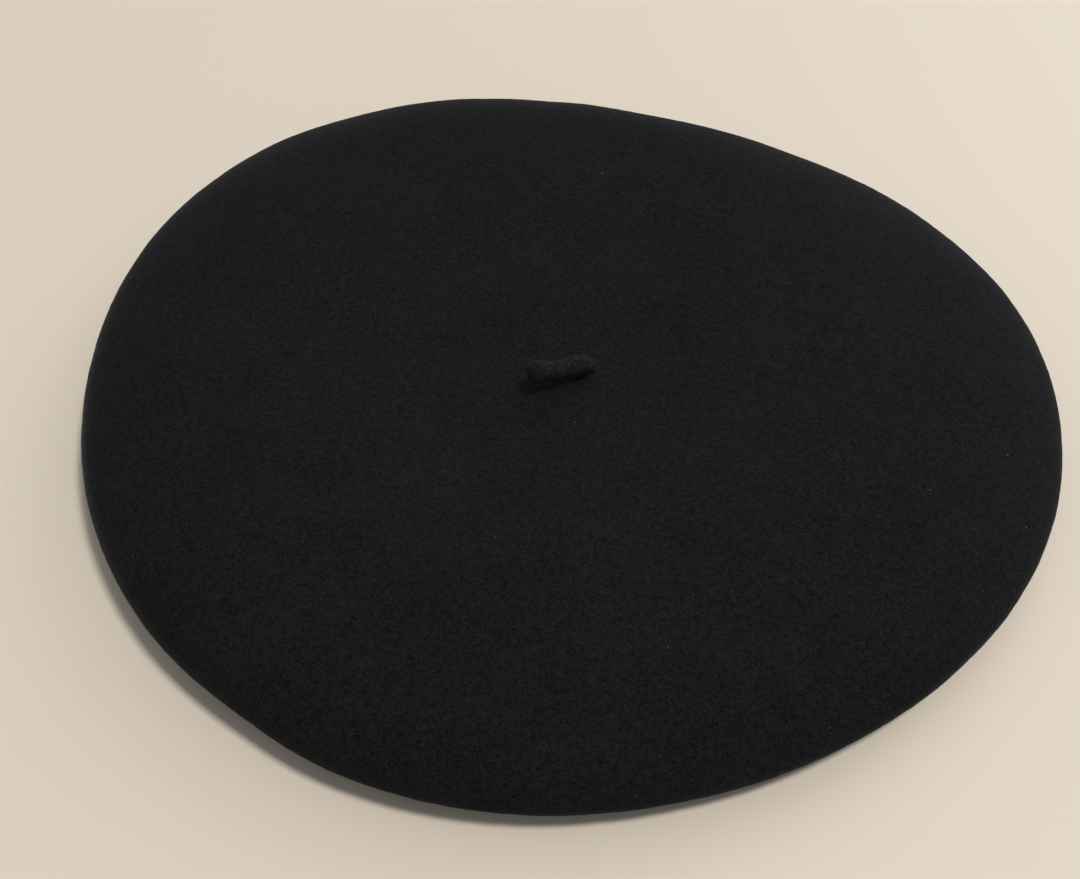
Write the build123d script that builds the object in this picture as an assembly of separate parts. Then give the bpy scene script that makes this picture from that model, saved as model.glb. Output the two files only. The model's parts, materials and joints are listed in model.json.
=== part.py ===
"""A large classic wool-felt beret, resting on its head opening, in millimetres.

Origin: the middle of the head opening, in the plane that the hat rests on. +Z is up through the crown, and the
back of the head opening, where the sweatband's ends meet, is at +Y. The felt body is one seamless bag: a broad
plate, a rolled rim, an underside and a hem turned up at the opening. A leather sweatband stands inside the
opening, a satin lining (side and tip) hangs under the crown, and a short felt stalk lies over on the plate.
"""
from build123d import *
from math import atan2, ceil, cos, degrees, hypot, pi, radians, sin
import os

# Felt body.
PLATE_R = 139.0  # mean radius of the plate, at the widest part of the rim
FELT = 2.4  # thickness of the felt
# Slow waves of the soft outline: how many crests, height in mm, phase in degrees.
OUTLINE_WAVES = [(1, 3.6, 166), (2, 5.0, -37), (3, 4.1, 26), (4, 0.7, 158)]
# Outer profile from the middle of the crown, over the rim and back under: share of the plate's radius, height.
OUTER_PROFILE = [
    (0.03, 26.0), (0.25, 26.4), (0.45, 27.8), (0.62, 29.0), (0.72, 29.0), (0.81, 27.9), (0.88, 25.6),
    (0.935, 22.4), (0.97, 18.8), (0.99, 15.6), (1.00, 12.0), (0.992, 9.2), (0.97, 6.9), (0.93, 4.9),
    (0.87, 3.1), (0.80, 1.6),
]
SECTION_POINTS = 32
FOOT_WIDTH = 4.0  # flat ring round the hem that the hat rests on

# Head opening: the sweatband's inner face is 570 mm round, a size 57.
HEAD_R = 570 / (2 * pi)
LEATHER = 1.3
# The band's inner face, bottom to top: how far it stands back from the head, height.
BAND_PROFILE = [(1.6, 0.4), (0.0, 4.5), (0.0, 14.5), (1.5, 21.8)]
BAND_GAP = 0.7  # between the band's two ends, at the back
HEM_R = HEAD_R + BAND_PROFILE[0][0] + LEATHER + 0.3
HEM_TOP = 9.0

# Satin lining.
SATIN = 0.4
TIP_R = 97.4
TIP_LOW = 22.2  # underside of the tip
SIDE_FOOT_R = HEM_R + 0.7
SIDE_LOW = 9.3

# Threads.
THREAD_R = 0.3
FINE_THREAD_R = 0.2
TOUCH = 0.05  # gap between a thread and what it lies on
SEAM_HEIGHT, SEAM_PITCH, SEAM_STITCH = 2.6, 5.0, 3.4
JOIN_HEIGHTS, JOIN_STITCH = (15.4, 21.2), 4.0
LINING_PITCH, LINING_STITCH = 9.0, 4.0

# Stalk.
STALK_ROOT = (6.3, -4.5)  # where it leaves the plate
STALK_HEADING = 209.0  # direction in which it lies over, in degrees from +X
STALK_RISE = 12.0  # degrees that it stands off the plate
STALK_LENGTH = 21.2
STALK_ROOT_R, STALK_WAIST_R, STALK_TIP_R = 3.1, 2.7, 3.0
STALK_CLEAR = 0.4  # between the stalk's root and the plate, so that it can be raised
TACK_SPREAD, TACK_LENGTH = 2.2, 5.0

# Ribbon bow on the band's join, at the back.
BACK = 90.0  # direction of the back, in degrees from +X
RIBBON, RIBBON_WIDTH = 0.5, 4.0
BAND_CLEAR, TAIL_CLEAR = 0.45, 0.82  # between the flat trim and the curved band
BOW_HEIGHT = 19.4
LOOP_LENGTH, LOOP_DEPTH, LOOP_TURN = 12.5, 2.4, 5.9
TAIL_LENGTH, TAIL_TURN, TAIL_DROP, TAIL_SLANT, TAIL_NOTCH = 12.0, 5.4, 1.4, 14.0, 2.0
KNOT_WIDTH, KNOT_DEPTH, KNOT_HEIGHT = 4.6, 3.4, 4.6

# Labels.
LABEL_X, LABEL_Y, LABEL_THICK = 44.0, 26.0, 0.5
LABEL_GAP = 0.1
WINDOW_X, WINDOW_Y, WINDOW_CORNER = 92.0, 68.0, 5.0  # diagonals of the clear lozenge
FILM = 0.3
WINDOW_LOW = TIP_LOW - 2 * LABEL_GAP - LABEL_THICK - FILM
WINDOW_STITCHES, WINDOW_STITCH, WINDOW_SEAM = 9, 3.2, 0.94
CARE_X = -76.0  # where the care label hangs from the lining
CARE_CLEAR = 0.8
CARE_WIDTH, CARE_LENGTH = 16.0, 6.6
CARE_STITCH, CARE_STITCHES_Y = 3.6, (-5, 0, 5)
TAB_WIDTH, TAB_LENGTH, TAB_HEIGHT, TAB_DIRECTION = 11.0, 5.6, 18.4, 62.0


def plate_radius(angle):
    """Radius of the soft outline in a direction, in degrees."""
    return PLATE_R + sum(height * cos(radians(n * angle - phase)) for n, height, phase in OUTLINE_WAVES)


def outline_ring(share, z):
    """A closed smooth curve like the outline, at a share of its size."""
    angles = [360 * i / SECTION_POINTS for i in range(SECTION_POINTS)]
    radii = [share * plate_radius(a) for a in angles]
    points = [(r * cos(radians(a)), r * sin(radians(a)), z) for r, a in zip(radii, angles)]
    return Wire([Spline(*points, periodic=True)])


def round_ring(radius, z):
    """The same kind of curve, as a circle."""
    angles = [radians(360 * i / SECTION_POINTS) for i in range(SECTION_POINTS)]
    return Wire([Spline(*[(radius * cos(a), radius * sin(a), z) for a in angles], periodic=True)])


def inset(profile, depth):
    """The profile moved inwards, square to itself, by a depth in mm."""
    points = [(share * PLATE_R, z) for share, z in profile]
    moved = []
    for i, (r, z) in enumerate(points):
        r0, z0 = points[max(i - 1, 0)]
        r1, z1 = points[min(i + 1, len(points) - 1)]
        run = hypot(r1 - r0, z1 - z0)
        moved.append(((r + depth * (z1 - z0) / run) / PLATE_R, z - depth * (r1 - r0) / run))
    return moved


def bag(profile, foot_z):
    """The solid inside a profile, closed by a flat round foot."""
    rings = [outline_ring(share, z) for share, z in profile]
    rings.append(round_ring(HEM_R + FELT + FOOT_WIDTH, foot_z))
    return Solid.make_loft(rings, ruled=True)


def tube(inner_r, outer_r, z0, z1):
    """An upright round wall."""
    return turned((inner_r, z0), (outer_r, z0), (outer_r, z1), (inner_r, z1))


def turned(*section):
    """A ring turned about the Z axis from corners given as radius, height."""
    corners = [(r, 0, z) for r, z in section]
    return revolve(make_face(Polyline(*corners, close=True)), Axis.Z)


def felt_body():
    """The seamless felt bag, with the hem turned up inside the head opening."""
    wall = bag(OUTER_PROFILE, 0) - bag(inset(OUTER_PROFILE, FELT), FELT)
    opening = Cylinder(HEM_R, 3 * FELT)
    return wall - opening + tube(HEM_R, HEM_R + FELT, 0, HEM_TOP)


def band_inner(z):
    """Radius of the sweatband's inner face at a height."""
    for (back0, z0), (back1, z1) in zip(BAND_PROFILE, BAND_PROFILE[1:]):
        if z <= z1:
            return HEAD_R + back0 + (back1 - back0) * (z - z0) / (z1 - z0)
    return HEAD_R + BAND_PROFILE[-1][0]


def sweatband():
    """The leather band, a strip on edge bent into a ring whose ends meet at the back."""
    inner = [(HEAD_R + back, z) for back, z in BAND_PROFILE]
    outer = [(r + LEATHER, z) for r, z in reversed(inner)]
    gap = Pos(0, HEAD_R, 0) * Box(BAND_GAP, 6 * LEATHER, 4 * BAND_PROFILE[-1][1])
    return turned(*inner, *outer) - gap


def on_band(direction, z, depth, shape):
    """A shape of some depth set against the band's inner face, its own +Y pointing outwards."""
    return Rot(0, 0, direction - 90) * Pos(0, band_inner(z) - depth / 2, z) * shape


def round_places(radius, pitch):
    """Evenly spaced directions round a circle, in degrees."""
    count = ceil(2 * pi * radius / pitch)
    return [360 * (i + 0.5) / count for i in range(count)]


def thread(length, radius=THREAD_R):
    """One stitch lying along X."""
    return Cylinder(radius, length, rotation=(0, 90, 0))


def sweatband_seam_stitches():
    """The row of stitches that holds the band's lower edge to the hem."""
    depth = 2 * (THREAD_R + 2 * TOUCH)
    return [on_band(a, SEAM_HEIGHT, depth, thread(SEAM_STITCH)) for a in round_places(HEAD_R, SEAM_PITCH)]


def sweatband_join_stitches():
    """Cross stitches over the gap between the band's ends, below and above the bow."""
    depth = 2 * (THREAD_R + 2 * TOUCH)
    return [on_band(BACK, z, depth, thread(JOIN_STITCH)) for z in JOIN_HEIGHTS]


def lining_tip():
    """The satin panel under the crown."""
    return Pos(0, 0, TIP_LOW + SATIN / 2) * Cylinder(TIP_R, SATIN)


def lining_side():
    """The satin panel from the hem up to the tip."""
    top_r, top_z = TIP_R - SATIN, TIP_LOW - TOUCH
    return turned((SIDE_FOOT_R, SIDE_LOW), (SIDE_FOOT_R + SATIN, SIDE_LOW), (TIP_R, top_z), (top_r, top_z))


def lining_seam_stitches():
    """Stitches round the joint between the lining's tip and side."""
    radius = TIP_R - SATIN - 2 * FINE_THREAD_R - 2 * TOUCH
    z = TIP_LOW - FINE_THREAD_R - TOUCH
    line = Pos(0, radius, z) * thread(LINING_STITCH, FINE_THREAD_R)
    return [Rot(0, 0, a) * line for a in round_places(radius, LINING_PITCH)]


def stalk():
    """The felt stalk: a stub with a slight waist and a round tip, lying over on the plate."""
    body = STALK_LENGTH - STALK_TIP_R
    side = Spline(
        (0, STALK_ROOT_R), (body / 2, STALK_WAIST_R), (body, STALK_TIP_R), (STALK_LENGTH, 0),
        tangents=[(1, 0), (0, -1)],
    )
    closing = Polyline((STALK_LENGTH, 0), (0, 0), (0, STALK_ROOT_R))
    upright = revolve(make_face([side, closing]), Axis.X)
    root = Pos(*STALK_ROOT, OUTER_PROFILE[0][1] + STALK_ROOT_R + STALK_CLEAR)
    return root * Rot(0, 0, STALK_HEADING) * Rot(0, -STALK_RISE, 0) * upright


def stalk_root_stitches():
    """Two crossed pairs of tacks on the crown's inner face that hold the stalk's root."""
    root = Pos(*STALK_ROOT, OUTER_PROFILE[0][1] - FELT - FINE_THREAD_R - TOUCH)
    across = Pos(0, 0, -2 * FINE_THREAD_R - TOUCH) * Rot(0, 0, 90)
    tack = thread(TACK_LENGTH, FINE_THREAD_R)
    sides = [Pos(0, side * TACK_SPREAD, 0) * tack for side in (-1, 1)]
    return [root * side for side in sides] + [root * across * side for side in sides]


def bow_tails():
    """The two notched ribbon ends, flat on the band and slanting down from the knot."""
    strip = Box(TAIL_LENGTH, RIBBON, RIBBON_WIDTH)
    notch = Pos(TAIL_LENGTH / 2, 0, 0) * Rot(0, 45, 0) * Box(TAIL_NOTCH, 2 * RIBBON, TAIL_NOTCH)
    right = Rot(0, TAIL_SLANT, 0) * (strip - notch)
    depth = RIBBON + 2 * TAIL_CLEAR
    height = BOW_HEIGHT - TAIL_DROP
    turns = [(-TAIL_TURN, right), (TAIL_TURN, mirror(right, Plane.YZ))]
    return [on_band(BACK + turn, height, depth, tail) for turn, tail in turns]


def bow_loops():
    """The two flattened ribbon loops, over the tails."""
    outer = SlotOverall(LOOP_LENGTH, LOOP_DEPTH)
    inner = SlotOverall(LOOP_LENGTH - 2 * RIBBON, LOOP_DEPTH - 2 * RIBBON)
    loop = extrude(outer - inner, RIBBON_WIDTH / 2, both=True)
    depth = LOOP_DEPTH + 2 * (TAIL_CLEAR + RIBBON + BAND_CLEAR)
    return [on_band(BACK + turn, BOW_HEIGHT, depth, loop) for turn in (-LOOP_TURN, LOOP_TURN)]


def bow_knot():
    """The short ribbon band round the middle of the bow."""
    knot = Box(KNOT_WIDTH, KNOT_DEPTH, KNOT_HEIGHT)
    depth = KNOT_DEPTH + 2 * BAND_CLEAR
    return on_band(BACK, BOW_HEIGHT, depth, fillet(knot.edges().filter_by(Axis.Z), KNOT_WIDTH / 5))


def maker_label():
    """A plain woven label under the middle of the lining's tip."""
    return Pos(0, 0, TIP_LOW - LABEL_GAP - LABEL_THICK / 2) * Box(LABEL_X, LABEL_Y, LABEL_THICK)


def label_window():
    """The clear lozenge of film that covers the label."""
    across, along = WINDOW_X / 2, WINDOW_Y / 2
    shape = make_face(Polyline((across, 0), (0, along), (-across, 0), (0, -along), close=True))
    return Pos(0, 0, WINDOW_LOW) * extrude(fillet(shape.vertices(), WINDOW_CORNER), FILM)


def window_stitches():
    """Stitches along the four sides of the clear film."""
    across, along = WINDOW_SEAM * WINDOW_X / 2, WINDOW_SEAM * WINDOW_Y / 2
    corners = [(across, 0), (0, along), (-across, 0), (0, -along)]
    z = WINDOW_LOW - FINE_THREAD_R - TOUCH
    made = []
    for (x0, y0), (x1, y1) in zip(corners, corners[1:] + corners[:1]):
        heading = degrees(atan2(y1 - y0, x1 - x0))
        for i in range(WINDOW_STITCHES):
            t = (i + 1) / (WINDOW_STITCHES + 1)
            place = Pos(x0 + (x1 - x0) * t, y0 + (y1 - y0) * t, z)
            made.append(place * Rot(0, 0, heading) * thread(WINDOW_STITCH, FINE_THREAD_R))
    return made


def care_label():
    """A short satin care label, hanging from the lining by its sewn edge."""
    return Pos(CARE_X, 0, TIP_LOW - CARE_CLEAR - CARE_LENGTH / 2) * Box(SATIN, CARE_WIDTH, CARE_LENGTH)


def care_label_stitches():
    """The stitches along the care label's sewn edge."""
    line = Rot(0, 0, 90) * thread(CARE_STITCH, FINE_THREAD_R)
    return [Pos(CARE_X, y, TIP_LOW - FINE_THREAD_R - TOUCH) * line for y in CARE_STITCHES_Y]


def size_tab():
    """A small plain size tape, sewn flat on the band's upper part."""
    flare = degrees(atan2(BAND_PROFILE[3][0], BAND_PROFILE[3][1] - BAND_PROFILE[2][1]))
    tape = Rot(-flare, 0, 0) * Box(TAB_WIDTH, RIBBON, TAB_LENGTH)
    return on_band(TAB_DIRECTION, TAB_HEIGHT, RIBBON + 2 * BAND_CLEAR, tape)


SUB_PARTS = [
    felt_body, stalk, stalk_root_stitches, sweatband, sweatband_seam_stitches, sweatband_join_stitches,
    bow_loops, bow_tails, bow_knot, lining_tip, lining_side, lining_seam_stitches,
    maker_label, label_window, window_stitches, care_label, care_label_stitches, size_tab,
]


def main():
    """Write each sub-part, a solid or a group of separate solids, under its own name."""
    os.makedirs("parts", exist_ok=True)
    for sub_part in SUB_PARTS:
        made = sub_part()
        shape = Compound(made) if isinstance(made, list) else made
        export_step(shape, f"parts/{sub_part.__name__}.step")


main()
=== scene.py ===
"""A large wool-felt beret lying on its head opening, seen from the front and above."""
import json
import math

import bpy
import numpy as np
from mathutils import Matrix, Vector, noise


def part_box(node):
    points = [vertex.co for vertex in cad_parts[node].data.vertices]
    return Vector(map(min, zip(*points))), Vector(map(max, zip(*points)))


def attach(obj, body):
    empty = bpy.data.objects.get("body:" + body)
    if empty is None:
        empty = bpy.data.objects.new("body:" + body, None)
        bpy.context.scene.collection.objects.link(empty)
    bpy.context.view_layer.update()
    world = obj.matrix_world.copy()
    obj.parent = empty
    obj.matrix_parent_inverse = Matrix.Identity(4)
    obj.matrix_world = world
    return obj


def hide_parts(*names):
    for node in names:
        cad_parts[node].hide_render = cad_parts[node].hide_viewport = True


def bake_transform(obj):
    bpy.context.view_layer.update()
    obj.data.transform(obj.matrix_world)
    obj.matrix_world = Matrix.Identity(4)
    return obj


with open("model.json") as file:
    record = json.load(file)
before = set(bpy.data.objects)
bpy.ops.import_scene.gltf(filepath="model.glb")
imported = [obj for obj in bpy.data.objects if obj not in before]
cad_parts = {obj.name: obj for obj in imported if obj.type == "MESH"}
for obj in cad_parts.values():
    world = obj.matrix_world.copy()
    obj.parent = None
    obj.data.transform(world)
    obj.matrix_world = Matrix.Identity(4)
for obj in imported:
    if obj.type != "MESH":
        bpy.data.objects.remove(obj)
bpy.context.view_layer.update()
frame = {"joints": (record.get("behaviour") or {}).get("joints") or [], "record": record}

# Lengths are in metres, and MM makes one from millimetres. Directions round the hat are in degrees from +X.
MM = 0.001
UP = np.array((0.0, 0.0, 1.0))
FINE_GRID = 512
TURN = 2 * math.pi

JOINTS = {joint["name"]: joint for joint in frame["joints"]}
HEAD_R = frame["record"]["mounts"][0]["dims"]["r_mm"] * MM

# Felt body. The outline's waves: how many crests, height, phase in degrees.
FELT = 2.4 * MM
PLATE_R = 139.4 * MM
OUTLINE_WAVES = [(1, 3.6 * MM, 166), (2, 5.0 * MM, -37), (3, 4.1 * MM, 26), (4, 0.7 * MM, 158)]
# Places where the soft edge is pressed in or pulled out: direction and reach in degrees, height.
EDGE_DENTS = [(233, 21, -2.1 * MM), (114, 11, 1.0 * MM)]
CREST_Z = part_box("felt_body")[1].z + 0.6 * MM  # the raised ring over the sweatband
DISH = 3.6 * MM  # how far the middle of the plate lies below it
RIM_Z = 12 * MM
RIM_WAVES = [(1, 1.5 * MM, 150), (2, 1.0 * MM, 40)]
CREST_R, CREST_SHIFT, CREST_TOWARDS = 93 * MM, 17 * MM, 139  # the ring is off centre, towards a direction
SHOULDER_POWER, UNDER_POWER = 2.15, 2.0  # superellipses, over the rim and under it
FOOT_W = 4.0 * MM
HEM_R = HEAD_R + 3.2 * MM
HEM_TOP = 9.0 * MM
# Broad hollows and swellings of the plate: x, y, reach across, reach along, turn in degrees, height.
SWELLS = [
    (62 * MM, 10 * MM, 26 * MM, 40 * MM, 20, -1.0 * MM),
    (-40 * MM, -62 * MM, 45 * MM, 20 * MM, -12, 0.9 * MM),
    (-60 * MM, -92 * MM, 40 * MM, 16 * MM, -20, -0.8 * MM),
    (-70 * MM, 60 * MM, 40 * MM, 26 * MM, 35, 0.7 * MM),
    (25 * MM, 88 * MM, 40 * MM, 18 * MM, 5, -0.7 * MM),
]

# Unevenness of the felt, the stalk and the leather: each step is a scale and a height.
FELT_BUMPS = [(45 * MM, 0.7 * MM), (14 * MM, 0.18 * MM), (2.2 * MM, 0.10 * MM)]
STALK_BUMPS = [(6 * MM, 0.7 * MM), (1.6 * MM, 0.16 * MM), (0.7 * MM, 0.07 * MM)]
BAND_BUMPS = [(7 * MM, 0.12 * MM)]

# Stalk.
STALK_LENGTH = 21.2 * MM
STALK_R = 3.1 * MM
STALK_RISE = 16  # degrees that it stands off the plate
STALK_LOOPS, STALK_AROUND = 120, 72

# Sweatband: its inner face from bottom to top, as how far it stands back from the head, and height.
LEATHER = 1.3 * MM
BAND_LOW, BAND_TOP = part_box("sweatband")[0].z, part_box("sweatband")[1].z
BAND_PROFILE = [(1.6 * MM, BAND_LOW), (0.0, 4.5 * MM), (0.0, 14.5 * MM), (1.5 * MM, BAND_TOP)]
GROOVE_BELOW, GROOVE_DEPTH, GROOVE_W = 1.7 * MM, 0.12 * MM, 0.28 * MM  # an embossed line under its top edge
BACK = 90  # direction of the back, where the band's ends meet
BAND_GAP = 0.7 * MM
BAND_HELD = 6 * MM  # below this height the felt holds it, and above it leans and waves a little

# Threads.
THREAD_R, FINE_THREAD_R = 0.3 * MM, 0.2 * MM
TOUCH = 0.05 * MM
SEAM_HEIGHT, SEAM_PITCH, SEAM_STITCH = 2.6 * MM, 5.0 * MM, 3.4 * MM
JOIN_HEIGHTS, JOIN_STITCH = (15.4 * MM, 21.2 * MM), 4.0 * MM
LINING_PITCH, LINING_STITCH = 9.0 * MM, 4.0 * MM
WINDOW_STITCHES, WINDOW_STITCH, WINDOW_SEAM = 9, 3.2 * MM, 0.94
CARE_STITCH, CARE_STITCHES_Y = 3.6 * MM, (-5 * MM, 0, 5 * MM)
TACK_SPREAD, TACK_LENGTH = 2.2 * MM, 5.0 * MM

# Lining, label and clear film.
SATIN = 0.4 * MM
TIP_LOW, TIP_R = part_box("lining_tip")[0].z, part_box("lining_tip")[1].x
SIDE_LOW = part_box("lining_side")[0].z
SIDE_FOOT_R = HEM_R + 0.7 * MM
SAG = 2.2 * MM  # how far the loose satin hangs between the film and the edge
SAG_IN, SAG_OUT = 50 * MM, 88 * MM
SIDE_BILLOW, SIDE_GATHER = 1.1 * MM, 0.35 * MM  # how far the side stands out in its middle, and its gathers
LABEL_X, LABEL_Y, LABEL_THICK = 44 * MM, 26 * MM, 0.5 * MM
WINDOW_X, WINDOW_Y, WINDOW_CORNER, FILM = 92 * MM, 68 * MM, 5 * MM, 0.3 * MM
CARE_X, CARE_TOP, CARE_BOTTOM = -76 * MM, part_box("care_label")[1].z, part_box("care_label")[0].z
CARE_W = 16 * MM
CARE_CURL, CARE_WAVE = 0.9 * MM, 0.35 * MM
TAB_W, TAB_L, TAB_Z, TAB_DIRECTION = 11 * MM, 5.6 * MM, 18.4 * MM, 62
TAB_IN = 0.62 * MM
TAPE, TAPE_PLY, CARE_GAP, TAB_GAP = 0.20 * MM, 0.22 * MM, 0.10 * MM, 0.06 * MM

# Bow of ribbon on the band: its places are along the band, in from the band, and up.
RIBBON, RIBBON_W = 0.42 * MM, 4.0 * MM
BOW_Z = 19.4 * MM
LOOP_LENGTH, LOOP_DEPTH, LOOP_IN = 12.4 * MM, 2.3 * MM, 2.95 * MM
TAIL_LENGTH, TAIL_IN, TAIL_DROP, TAIL_SLANT, TAIL_NOTCH = 14.6 * MM, 1.0 * MM, 0.9 * MM, 14, 0.09
KNOT_W, KNOT_DEPTH, KNOT_HEIGHT, KNOT_IN = 4.4 * MM, 3.5 * MM, 4.6 * MM, 2.25 * MM

# Colours and shine.
FELT_DARK, FELT_LIGHT, FELT_SHEEN = (0.0012, 0.0014, 0.0019), (0.0080, 0.0087, 0.0103), 0.06
# The stalk is pulled, fuzzier wool. Its felt colours are painted lighter than the body's: a painted highlight
# that stands in for the light on the raised stalk.
STALK_DARK_PAINTED_LIT, STALK_LIGHT_PAINTED_LIT, STALK_SHEEN = (0.0030, 0.0034, 0.0042), (0.0140, 0.0150, 0.0170), 0.015
LINT = (0.035, 0.035, 0.035)
LINT_BEND = 1.6 * MM
WORN_EDGE = 1.6 * MM  # the strip along the top of the sweatband that is rubbed smooth
RIB_PITCH = 0.34 * MM
WAVE_NODE_PITCH = TURN / 20  # the pitch of Blender's wave texture at a scale of 1
SATIN_SHINE = dict(Specular_IOR_Level=0.5, Anisotropic=0.55, Sheen_Weight=0.25, Sheen_Roughness=0.3)
LABEL_SHINE = dict(Specular_IOR_Level=0.4, Sheen_Weight=0.15, Sheen_Roughness=0.4)
# Cloths: dark and light colours, pitch of the yarns, roughness and shine.
SATIN_CLOTH = ((0.012, 0.012, 0.014), (0.046, 0.046, 0.052), 0.22 * MM, 0.34, SATIN_SHINE)
LABEL_CLOTH = ((0.46, 0.44, 0.39), (0.74, 0.72, 0.66), 0.30 * MM, 0.55, LABEL_SHINE)

# Stage. Lights: direction and elevation in degrees, distance, size, power, colour.
FLOOR_HALF, FLOOR_COLOUR = 12.0, (0.56, 0.50, 0.42)
KEY_LIGHT = (-40, 69, 4.0, 0.6, 120, (1.0, 0.97, 0.92))
BACK_LIGHT = (50, 28, 1.6, 1.1, 8, (0.97, 0.98, 1.0))
SKY_COLOUR, SKY_STRENGTH = (0.97, 0.98, 1.0), 0.5
CAMERA_PLACE = (-9.0 * MM, -304.3 * MM, RIM_Z + 323.2 * MM)
CAMERA_TILT = 41.5
LENS = 50


# ---------------------------------------- mesh tools

def crests(waves, angle):
    """The sum of slow waves round the hat, at angles in radians."""
    return sum(height * np.cos(n * angle - math.radians(phase)) for n, height, phase in waves)


def mesh_piece(name, points, faces, material):
    """A smooth mesh object from points and faces."""
    mesh = bpy.data.meshes.new(name)
    mesh.from_pydata([tuple(p) for p in points], [], [tuple(f) for f in faces])
    mesh.validate()
    mesh.materials.append(material)
    mesh.polygons.foreach_set("use_smooth", [True] * len(mesh.polygons))
    piece = bpy.data.objects.new(name, mesh)
    bpy.context.scene.collection.objects.link(piece)
    return piece


def loft_skin(loops, closed=False):
    """Points and faces of a skin over loops of points, closed by a fan at each end or joined end to end.
    The faces are turned so that they all look outwards."""
    rows, around = loops.shape[:2]
    i = np.arange(rows if closed else rows - 1)[:, None] * around
    j = np.arange(around)[None, :]
    below, beside = (i + around) % (rows * around), (j + 1) % around
    quads = np.stack([i + j, i + beside, below + beside, below + j], axis=-1).reshape(-1, 4)
    triangles = np.zeros((0, 3), int)
    points = loops.reshape(-1, 3)
    if not closed:
        points = np.vstack([points, loops[0].mean(0), loops[-1].mean(0)])
        first, last = np.arange(around), (rows - 1) * around + np.arange(around)
        start, end = np.full(around, rows * around), np.full(around, rows * around + 1)
        start_fan = np.stack([start, np.roll(first, -1), first], axis=-1)
        end_fan = np.stack([end, last, np.roll(last, -1)], axis=-1)
        triangles = np.vstack([start_fan, end_fan])
    a, b, c = (points[k] for k in np.vstack([quads[:, :3], quads[:, [0, 2, 3]], triangles]).T)
    volume = np.sum(a * np.cross(b, c))
    if volume < 0:
        quads, triangles = quads[:, ::-1], triangles[:, ::-1]
    return points, quads.tolist() + triangles.tolist()


def loft(name, loops, material, closed=False):
    """One closed skin over loops of points."""
    return mesh_piece(name, *loft_skin(loops, closed), material)


def joined(name, skins, material):
    """One piece made of several separate closed skins."""
    points, faces, start = [], [], 0
    for some_points, some_faces in skins:
        points.append(some_points)
        faces += [[start + k for k in face] for face in some_faces]
        start += len(some_points)
    return mesh_piece(name, np.vstack(points), faces, material)


def roughen(piece, steps):
    """Push a piece's points in and out by soft noise, but not below the floor.
    Each step is a scale and a height."""
    mesh = piece.data
    count = len(mesh.vertices)
    points, normals = np.zeros(count * 3), np.zeros(count * 3)
    mesh.vertices.foreach_get("co", points)
    mesh.vertex_normals.foreach_get("vector", normals)
    points, normals = points.reshape(-1, 3), normals.reshape(-1, 3)
    push = np.zeros(count)
    for scale, height in steps:
        push += [height * noise.noise(Vector(p / scale)) for p in points]
    points -= normals * push[:, None]
    points[:, 2] = np.maximum(points[:, 2], 0)
    mesh.vertices.foreach_set("co", points.ravel())
    mesh.update()


def frames_along(path):
    """For each point of a path, a direction to its side and one across both."""
    along = np.gradient(path, axis=0)
    along /= np.linalg.norm(along, axis=1)[:, None]
    side = np.cross(along, UP)
    side[np.linalg.norm(side, axis=1) < 1e-6] = (1, 0, 0)
    side /= np.linalg.norm(side, axis=1)[:, None]
    return side, np.cross(side, along)


def tube_loops(path, radii, around):
    """Loops of points round a path, each square to it."""
    path = np.asarray(path, float)
    side, other = frames_along(path)
    turns = np.linspace(0, TURN, around, endpoint=False)
    circle = side[:, None] * np.cos(turns)[None, :, None] + other[:, None] * np.sin(turns)[None, :, None]
    radii = np.asarray(radii, float).reshape(len(path), -1)
    return path[:, None] + circle * radii[:, :, None]


def rounded_section(half_width, half_thick, flat_points=7, end_points=4):
    """Points round a flat strip's section: how far across it, and how far out of it."""
    flat = np.linspace(-(half_width - half_thick), half_width - half_thick, flat_points)
    bend = np.linspace(-math.pi / 2, math.pi / 2, end_points + 2)[1:-1]
    reach, climb, face = half_thick * np.cos(bend), half_thick * np.sin(bend), half_thick + 0 * flat
    across = [flat, flat[-1] + reach, flat[::-1], flat[0] - reach]
    out = [-face, climb, face, -climb]
    return np.concatenate(across), np.concatenate(out)


def strip_loops(path, across, half_width, half_thick, narrow=None):
    """Loops of points round a flat strip along a path; across is the direction of its width."""
    path = np.asarray(path, float)
    along = np.gradient(path, axis=0)
    across = np.asarray(across, float) * np.ones_like(path)
    out = np.cross(along, across)
    out /= np.linalg.norm(out, axis=1)[:, None]
    u, v = rounded_section(half_width, half_thick)
    narrow = np.ones(len(path)) if narrow is None else narrow
    widths = across[:, None] * u[None, :, None] * narrow[:, None, None]
    return path[:, None] + widths + out[:, None] * v[None, :, None]


def rounded_outline(corners, radius, count):
    """Even points round a convex outline with rounded corners, and the outward direction at each."""
    corners = np.asarray(corners, float)
    points, normals = [], []
    for before, corner, after in zip(np.roll(corners, 1, 0), corners, np.roll(corners, -1, 0)):
        a, b = corner - before, after - corner
        a, b = a / np.linalg.norm(a), b / np.linalg.norm(b)
        start, end = np.array((a[1], -a[0])), np.array((b[1], -b[0]))
        middle = corner - (start + end) / (1 + start @ end) * radius
        for t in np.linspace(0, 1, 9):
            way = (1 - t) * start + t * end
            way /= np.linalg.norm(way)
            points.append(middle + way * radius)
            normals.append(way)
    points, normals = np.array(points + points[:1]), np.array(normals + normals[:1])
    walked = np.concatenate([[0], np.cumsum(np.linalg.norm(np.diff(points, axis=0), axis=1))])
    at = np.linspace(0, walked[-1], count, endpoint=False)
    places = np.stack([np.interp(at, walked, points[:, k]) for k in (0, 1)], axis=1)
    ways = np.stack([np.interp(at, walked, normals[:, k]) for k in (0, 1)], axis=1)
    return places, ways / np.linalg.norm(ways, axis=1)[:, None]


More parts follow.
